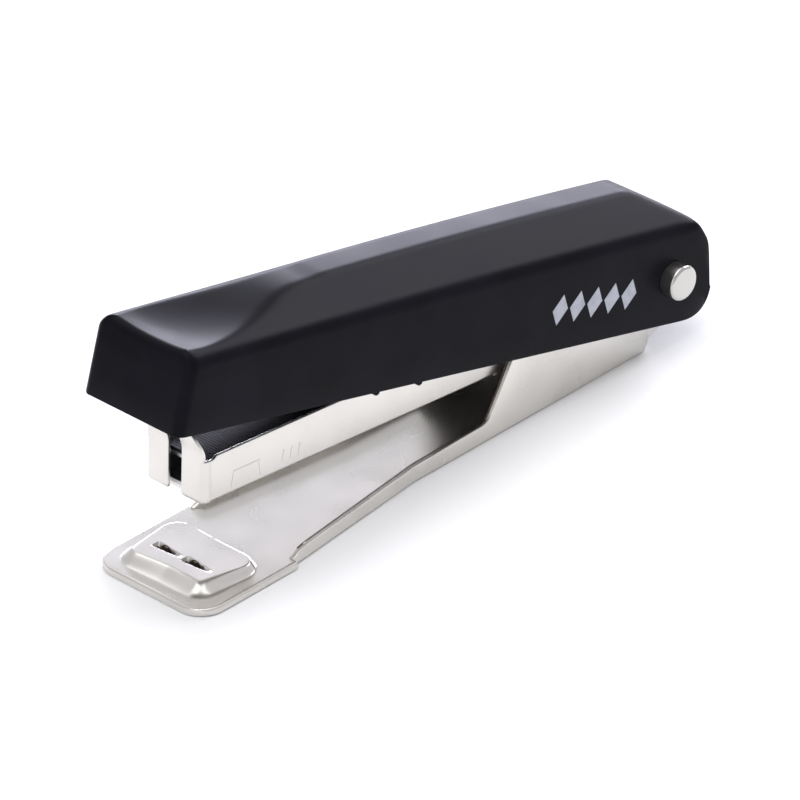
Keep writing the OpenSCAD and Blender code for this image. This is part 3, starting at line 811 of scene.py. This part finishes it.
def wall_skin():
    """One side wall behind the floor, running up to the lobe round the pin."""
    lobe = [(LOBE_R * math.sin(a), LOBE_R * math.cos(a)) for a in np.radians(range(8, 88, 8))]
    low_line = [(MAG_FLOOR_END + x, MAG_BOTTOM + z)
                for x, z in ((0, 0), (0.8, 0.12), (1.6, 0.45), (2.5, 1.3), (3.2, 1.4))]
    low_line += [(0.0, -LOBE_R)] + [(x, -z) for x, z in lobe]
    high_line = [(MAG_FLOOR_END, MAG_TOP), (-9, MAG_TOP), (0.0, LOBE_R)] + lobe
    even = np.linspace(MAG_FLOOR_END, LOBE_R - 0.05, 50)
    xs = sorted(set([round(p[0], 3) for p in low_line + high_line] + list(np.round(even, 3))))
    low, high = np.interp(xs, *zip(*low_line)), np.interp(xs, *zip(*high_line))
    loops = [section(MAG_OUT, MAG_IN, float(a), float(b), 0.3, 0.15) for a, b in zip(low, high)]
    return along_x(xs, loops)


def front_ear():
    """One front ear with its bend round the corner: up to the relief it wraps to the side wall, and
    above it only the ear goes on, leaning forward, its outer edge curving in."""
    levels = [MAG_BOTTOM, MAG_BOTTOM + 0.08, MAG_BOTTOM + 0.25, MAG_BOTTOM + 0.5]
    levels += list(np.linspace(MAG_BOTTOM + 0.9, 0.35, 9)) + [0.5, 0.62, 0.66, 0.8, 1.0, 1.3]
    levels += list(np.linspace(1.6, EAR_TOP - 0.25, 14)) + [EAR_TOP - 0.1, EAR_TOP]
    loops = []
    for z in levels:
        foot = 0.35 * max(0, 1 - (z - MAG_BOTTOM) / 0.5) ** 2
        crown = 0.15 * max(0, 1 - (EAR_TOP - z) / 0.25) ** 2
        forward = 0.75 * smooth_step((z - 1.2) / 3.0)
        x0 = -MAG_LEN - forward + foot + crown
        x1 = -MAG_LEN + MAG_T - forward - crown
        slot = SLOT_HALF + 0.45 * max(0, 1 - (z - MAG_BOTTOM) / 0.5) ** 2
        loop = [(x0, slot + 0.12), (x0 + 0.04, slot + 0.03), (x0 + 0.12, slot), (x1 - 0.1, slot), (x1, slot + 0.1)]
        if z < RELIEF_Z:
            bend, outer, tail = 0.75, MAG_OUT - foot * 0.5, -MAG_LEN + 1.22 - forward
            inside = outer - MAG_T
            loop += [(x1, inside - 0.15), (x1 + 0.1, inside), (tail, inside), (tail, outer)]
        else:
            bend, outer = 0.15, 4.85 - 2.3 * (max(0, z - 1.0) / 4.2) ** 2.2
            inside, tail = outer - 0.12, -MAG_LEN + (MAG_T + 0.02) - forward
            loop += [(x1, inside), (x1, inside), (tail, inside + 0.06), (tail, outer - 0.02)]
        loop += [(x0 + bend - bend * math.sin(a), outer - bend + bend * math.cos(a))
                 for a in np.radians(range(0, 91, 15))]
        loops.append([(x, y, z) for x, y in loop])
    return tube(loops)


class STAPLER_OT_magazine(bpy.types.Operator):
    """Folded magazine: channel, walls with pin lobes, front ears and the marks pressed into its side"""

    bl_idname = "stapler.magazine"
    bl_label = "Magazine"

    def execute(self, context):
        wall, ear = wall_skin(), front_ear()
        channel = joined(channel_skin(), wall, mirrored(wall), ear, mirrored(ear))
        finish_piece(pitched_piece("magazine_folded_channel", channel, MAGAZINE_PITCH, 38),
                     "magazine", ["magazine_channel"], finish("sheet"))
        low, high = -MAG_OUT - 0.05, -MAG_OUT + 0.2
        marks = [stroke([(-75.4, -4.25), (-75.1, -2.2), (-70.8, -2.2), (-70.4, -4.3)], 0.22, low, high)]
        marks += [stroke([(x - 0.12, -3.9), (x + 0.12, -2.3)], 0.3, low, high) for x in (-66.6, -65.2, -63.8)]
        finish_piece(pitched_piece("magazine_pressed_marks", joined(*marks), MAGAZINE_PITCH),
                     "magazine", [], finish("sheet"))
        return {"FINISHED"}


# ---- what repeats: staples and the coil ----

def new_tree(name, inputs):
    """A geometry tree with a geometry input and output and named value inputs."""
    tree = bpy.data.node_groups.new(name, "GeometryNodeTree")
    face = tree.interface
    face.new_socket("Geometry", in_out="INPUT", socket_type="NodeSocketGeometry")
    for label, kind, value in inputs:
        socket = face.new_socket(label, in_out="INPUT", socket_type=kind)
        if value is not None:
            socket.default_value = value
    face.new_socket("Geometry", in_out="OUTPUT", socket_type="NodeSocketGeometry")
    return tree, tree.nodes.new("NodeGroupInput"), tree.nodes.new("NodeGroupOutput")


def close_tree(tree, geometry, start, end):
    """Makes the geometry real, gives it the tree's Finish input and sends it out."""
    real = node_of(tree, "GeometryNodeRealizeInstances", {}, {0: geometry})
    painted = node_of(tree, "GeometryNodeSetMaterial", {},
                      {"Geometry": real.outputs[0], "Material": start.outputs["Finish"]})
    tree.links.new(painted.outputs[0], end.inputs[0])


def with_tree(holder, tree, values):
    """Puts the tree on holder, setting its inputs by their identifiers."""
    modifier = holder.modifiers.new("build", "NODES")
    modifier.node_group = tree
    for item in tree.interface.items_tree:
        if item.in_out == "INPUT" and item.name in values:
            modifier[item.identifier] = values[item.name]
    return holder


def one_staple():
    """A single staple of 0.5 mm wire, 8.9 mm wide with 4.9 mm legs, its corners rounded."""
    half, leg, wire, r = 4.45, 4.88, STAPLE_WIRE, 0.55
    path = [(-half, -leg), (-half, -r)]
    path += [(-half + r - r * math.cos(a), -r + r * math.sin(a)) for a in np.radians((30, 60, 90))]
    path += [(-y, z) for y, z in path[::-1]]
    ring = [(-wire / 2 + 0.06, 0.0), (-wire / 2, 0.06), (-wire / 2, wire - 0.06), (-wire / 2 + 0.06, wire)]
    ring += [(-x, d) for x, d in ring[::-1]]
    loops = []
    for i, (y, z) in enumerate(path):
        before = Vector(path[i]) - Vector(path[i - 1]) if i else Vector((0, 1))
        after = Vector(path[i + 1]) - Vector(path[i]) if i + 1 < len(path) else Vector((0, -1))
        along = (before.normalized() + after.normalized()).normalized()
        loops.append([(x, y + along.y * d, z - along.x * d) for x, d in ring])
    return tube(loops)


class STAPLER_OT_staples(bpy.types.Operator):
    """Strip of glued staples, one wire after another along the rail"""

    bl_idname = "stapler.staples"
    bl_label = "Staples"

    def execute(self, context):
        holder = mesh_piece("staple", one_staple(), 40)
        tree, start, end = new_tree("staple_strip_tree", [
            ("Count", "NodeSocketInt", STAPLE_COUNT), ("Pitch", "NodeSocketFloat", STAPLE_WIRE * MM),
            ("Finish", "NodeSocketMaterial", None)])
        line = node_of(tree, "GeometryNodeMeshLine", {}, {"Count": start.outputs["Count"]})
        step = node_of(tree, "ShaderNodeCombineXYZ", {}, {"X": start.outputs["Pitch"]})
        tree.links.new(step.outputs[0], line.inputs["Offset"])
        copies = node_of(tree, "GeometryNodeInstanceOnPoints", {},
                         {"Points": line.outputs[0], "Instance": start.outputs["Geometry"]})
        close_tree(tree, copies.outputs[0], start, end)
        with_tree(holder, tree, {"Count": context.scene.stapler_sizes.staples, "Pitch": STAPLE_WIRE * MM,
                                 "Finish": finish("staple")})
        piece = plain_copy(holder, "staple_strip_wires")
        points = np.array([v.co for v in piece.data.vertices]) / MM
        points += (SLOT_BACK + 0.25, 0, STAPLE_TOP)
        points[:, 2] = np.minimum(points[:, 2], STAPLE_TOP + 0.04)
        place_points(piece, points, MAGAZINE_PITCH)
        # The strip's dark finish is painted shade.
        finish_piece(piece, "magazine", ["staple_strip"], finish("staple"))
        return {"FINISHED"}


class STAPLER_OT_coil(bpy.types.Operator):
    """Coil spring behind the pusher, wound round the guide rod"""

    bl_idname = "stapler.coil"
    bl_label = "Pusher spring"

    def execute(self, context):
        # The tree winds the coil by itself; the holder's own mesh only carries the modifier.
        holder = mesh_piece("coil", tube([[(0, 0, 0), (0, 1, 0), (0, 1, 1)], [(1, 0, 0), (1, 1, 0), (1, 1, 1)]]))
        values = {"Turns": COIL_TURNS, "Length": (COIL_BACK - COIL_FRONT) * MM, "Radius": COIL_R * MM,
                  "Wire": COIL_WIRE_R * MM}
        inputs = [(label, "NodeSocketFloat", value) for label, value in values.items()]
        tree, start, end = new_tree("coil_tree", inputs + [("Finish", "NodeSocketMaterial", None)])
        helix = node_of(tree, "GeometryNodeCurveSpiral", {"Resolution": 20},
                        {"Rotations": start.outputs["Turns"], "Start Radius": start.outputs["Radius"],
                         "End Radius": start.outputs["Radius"], "Height": start.outputs["Length"]})
        wire = node_of(tree, "GeometryNodeCurvePrimitiveCircle", {"Resolution": 8},
                       {"Radius": start.outputs["Wire"]})
        body = node_of(tree, "GeometryNodeCurveToMesh", {"Fill Caps": True},
                       {"Curve": helix.outputs[0], "Profile Curve": wire.outputs[0]})
        close_tree(tree, body.outputs[0], start, end)
        with_tree(holder, tree, {**values, "Finish": finish("spring")})
        piece = plain_copy(holder, "pusher_spring_coil")
        points = np.array([v.co for v in piece.data.vertices]) / MM
        points = np.stack([COIL_FRONT + points[:, 2], points[:, 0], COIL_Z + points[:, 1]], 1)
        place_points(piece, points, MAGAZINE_PITCH)
        shape = bmesh.new()
        shape.from_mesh(piece.data)
        bmesh.ops.recalc_face_normals(shape, faces=shape.faces)
        shape.to_mesh(piece.data)
        shape.free()
        piece.data.shade_smooth()
        finish_piece(piece, "magazine", ["pusher_spring"], finish("spring"))
        seat = pitched([(COIL_BACK, 0, COIL_Z)], MAGAZINE_PITCH)[0] * MM
        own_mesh(piece)
        return {"FINISHED"}


class STAPLER_OT_leaf(bpy.types.Operator):
    """Leaf spring that lifts the magazine off the base"""

    bl_idname = "stapler.leaf"
    bl_label = "Return leaf"

    def execute(self, context):
        low, high = LOW["base_return_spring"], HIGH["base_return_spring"]
        rise, t, half = high.z - 0.35 - BASE_T, 0.35, 3.0
        root = high.x - 6
        xs = list(np.linspace(low.x, root, 30)) + [root + 2, root + 4, high.x - 0.6, high.x]
        loops = []
        for x in xs:
            z = BASE_T + rise * (0.5 + 0.5 * math.cos(math.pi * (x - low.x) / (root - low.x)) if x < root else 0)
            w = half - 0.5 * max(0, 1 - (x - low.x) / 0.8) ** 2 - 0.6 * max(0, 1 - (high.x - x) / 0.6) ** 2
            loops.append([(-w, z + 0.08), (-w + 0.08, z), (w - 0.08, z), (w, z + 0.08), (w, z + t - 0.08),
                          (w - 0.08, z + t), (-w + 0.08, z + t), (-w, z + t - 0.08)])
        piece = mesh_piece("return_leaf_spring", along_x(xs, loops), 40)
        finish_piece(piece, "base", ["base_return_spring"], finish("spring"))
        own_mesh(piece)
        return {"FINISHED"}


class STAPLER_OT_carried(bpy.types.Operator):
    """Finishes for the frame's own parts that stay as they are"""

    bl_idname = "stapler.carried"
    bl_label = "Carried parts"

    def execute(self, context):
        looks = {
            "inner": ["staple_rail", "rail_rivets", "guide_rod", "rod_bracket", "spring_seat_washer", "pivot_bush",
                      "handle_frame", "driver_rivets", "handle_spring_rivet", "base_spring_rivet"],
            "spring": ["rod_clip", "handle_spring"],
            # The pusher and driver blade get a dark tone that is painted shade.
            "blade": ["pusher", "driver_blade"],
        }
        for kind, names in looks.items():
            for name in names:
                for slot in frame["nodes"][name].material_slots:
                    slot.material = finish(kind)
        return {"FINISHED"}


# ---- stage ----

def area_light(name, place, aim, width, height, power, colour):
    """A soft rectangular lamp at place, turned towards aim."""
    data = bpy.data.lights.new(name, "AREA")
    data.shape = "RECTANGLE"
    data.size, data.size_y = width, height
    data.energy = power
    data.color = linear(colour)[:3]
    lamp = bpy.data.objects.new(name, data)
    lamp.location = place
    lamp.rotation_euler = (Vector(aim) - Vector(place)).to_track_quat("-Z", "Y").to_euler()
    bpy.context.scene.collection.objects.link(lamp)


class STAPLER_OT_stage(bpy.types.Operator):
    """Pale floor, soft lights and the camera"""

    bl_idname = "stapler.stage"
    bl_label = "Stage"

    def execute(self, context):
        scene = context.scene
        look = scene.stapler_stage
        mesh = bpy.data.meshes.new("studio_floor")
        corners = [(-4, -4), (4, -4), (4, 4), (-4, 4)]
        mesh.from_pydata([(x, y, -0.1 * MM) for x, y in corners], [], [(0, 1, 2, 3)])
        mesh.materials.append(finish("paper"))
        floor = bpy.data.objects.new("studio_floor", mesh)
        scene.collection.objects.link(floor)

        world = bpy.data.worlds.new("studio")
        world.use_nodes = True
        sky = world.node_tree.nodes["Background"]
        sky.inputs["Color"].default_value = linear("#fbfbff")
        sky.inputs["Strength"].default_value = look.sky
        scene.world = world
        scene.view_settings.view_transform = "Standard"

        area_light("overhead_softbox", (-0.05, 0.1, 0.8), (0, 0, 0), 0.9, 0.7, look.overhead, "#ffffff")
        area_light("rear_softbox", (0.64, 0.51, 0.16), (0, 0, 0.025), 0.8, 0.16, look.rear, "#ebebff")
        area_light("hinge_side_panel", (0.86, 0, 0.53), (0, 0, 0.025), 0.5, 0.36, look.panel, "#f6f6ff")
        area_light("front_fill", (-0.75, -0.25, 0.35), (0, 0, 0.0), 0.6, 0.5, look.fill, "#ffffff")

        data = bpy.data.cameras.new("camera")
        data.lens = look.lens
        data.sensor_width = 36
        data.clip_end = 20
        camera = bpy.data.objects.new("camera", data)
        a, e, roll = look.azimuth, look.elevation, look.roll
        back = Vector((math.sin(a) * math.cos(e), -math.cos(a) * math.cos(e), math.sin(e)))
        right = Vector((math.cos(a), math.sin(a), 0))
        up = back.cross(right)
        r = right * math.cos(roll) + up * math.sin(roll)
        u = up * math.cos(roll) - right * math.sin(roll)
        aim = Vector((PIN.x - 41.31, 0, 7.43)) * MM
        turn = Matrix((r, u, back)).transposed().to_4x4()
        camera.matrix_world = Matrix.Translation(aim + back * look.distance) @ turn
        scene.collection.objects.link(camera)
        scene.camera = camera
        return {"FINISHED"}


# ---- what a user may change ----

class STAPLER_PG_sizes(bpy.types.PropertyGroup):
    staples: bpy.props.IntProperty(
        name="Staples", description="Number of staples left in the strip", default=STAPLE_COUNT, min=1, max=50)


class STAPLER_PG_finishes(bpy.types.PropertyGroup):
    plate: bpy.props.StringProperty(
        name="Plate", description="Colour of the nickel plate, as sRGB hex", default="#dedbd6")
    plate_roughness: bpy.props.FloatProperty(
        name="Plate roughness", description="Roughness of the satin plate",
        default=0.27, min=0.05, max=1, subtype="FACTOR")
    cap: bpy.props.StringProperty(
        name="Cap", description="Colour of the cap's plastic, as sRGB hex", default="#111119")
    cap_roughness: bpy.props.FloatProperty(
        name="Cap roughness", description="Roughness of the cap's satin skin",
        default=0.34, min=0.05, max=1, subtype="FACTOR")
    ink: bpy.props.StringProperty(
        name="Ink", description="Colour of the printed mark, as sRGB hex", default="#adb0ba")
    floor: bpy.props.StringProperty(
        name="Floor", description="Colour of the backdrop paper, as sRGB hex", default="#fafafa")


class STAPLER_PG_stage(bpy.types.PropertyGroup):
    sky: bpy.props.FloatProperty(
        name="Sky", description="Strength of the even studio light", default=0.72, min=0)
    overhead: bpy.props.FloatProperty(
        name="Overhead", description="Power of the overhead softbox", default=3.8, min=0, unit="POWER")
    rear: bpy.props.FloatProperty(
        name="Rear", description="Power of the softbox behind the hinge", default=5.5, min=0, unit="POWER")
    panel: bpy.props.FloatProperty(
        name="Panel", description="Power of the panel on the hinge side", default=4.2, min=0, unit="POWER")
    fill: bpy.props.FloatProperty(
        name="Fill", description="Power of the light in front of the nose", default=0.6, min=0, unit="POWER")
    azimuth: bpy.props.FloatProperty(
        name="Azimuth", description="Camera's turn round the object",
        default=math.radians(-44.19), subtype="ANGLE")
    elevation: bpy.props.FloatProperty(
        name="Elevation", description="Camera's angle above the floor",
        default=math.radians(31.31), subtype="ANGLE")
    roll: bpy.props.FloatProperty(
        name="Roll", description="Camera's tilt", default=math.radians(-2.30), subtype="ANGLE")
    distance: bpy.props.FloatProperty(
        name="Distance", description="From the camera to the point it looks at", default=0.91775, unit="LENGTH")
    lens: bpy.props.FloatProperty(
        name="Lens", description="Focal length in millimetres", default=328.46, min=1)


STEPS = ("base", "pin", "leaf", "magazine", "staples", "coil", "cap", "print", "carried", "stage")


class STAPLER_PT_panel(bpy.types.Panel):
    """Lists the steps that build the stapler"""

    bl_idname = "STAPLER_PT_panel"
    bl_label = "Mini Stapler"
    bl_space_type = "VIEW_3D"
    bl_region_type = "UI"
    bl_category = "Stapler"

    def draw(self, context):
        for group in (context.scene.stapler_sizes, context.scene.stapler_finishes, context.scene.stapler_stage):
            box = self.layout.box()
            for name in group.__annotations__:
                box.prop(group, name)
        for step in STEPS:
            self.layout.operator("stapler." + step)


CLASSES = (STAPLER_PG_sizes, STAPLER_PG_finishes, STAPLER_PG_stage, STAPLER_OT_base, STAPLER_OT_pin,
           STAPLER_OT_leaf, STAPLER_OT_magazine, STAPLER_OT_staples, STAPLER_OT_coil, STAPLER_OT_cap,
           STAPLER_OT_print, STAPLER_OT_carried, STAPLER_OT_stage, STAPLER_PT_panel)


def register():
    for item in CLASSES:
        bpy.utils.register_class(item)
    bpy.types.Scene.stapler_sizes = bpy.props.PointerProperty(type=STAPLER_PG_sizes)
    bpy.types.Scene.stapler_finishes = bpy.props.PointerProperty(type=STAPLER_PG_finishes)
    bpy.types.Scene.stapler_stage = bpy.props.PointerProperty(type=STAPLER_PG_stage)


def unregister():
    del bpy.types.Scene.stapler_sizes, bpy.types.Scene.stapler_finishes, bpy.types.Scene.stapler_stage
    for item in reversed(CLASSES):
        bpy.utils.unregister_class(item)


def main():
    register()
    for step in STEPS:
        getattr(bpy.ops.stapler, step)()


if __name__ == "__main__":
    main()
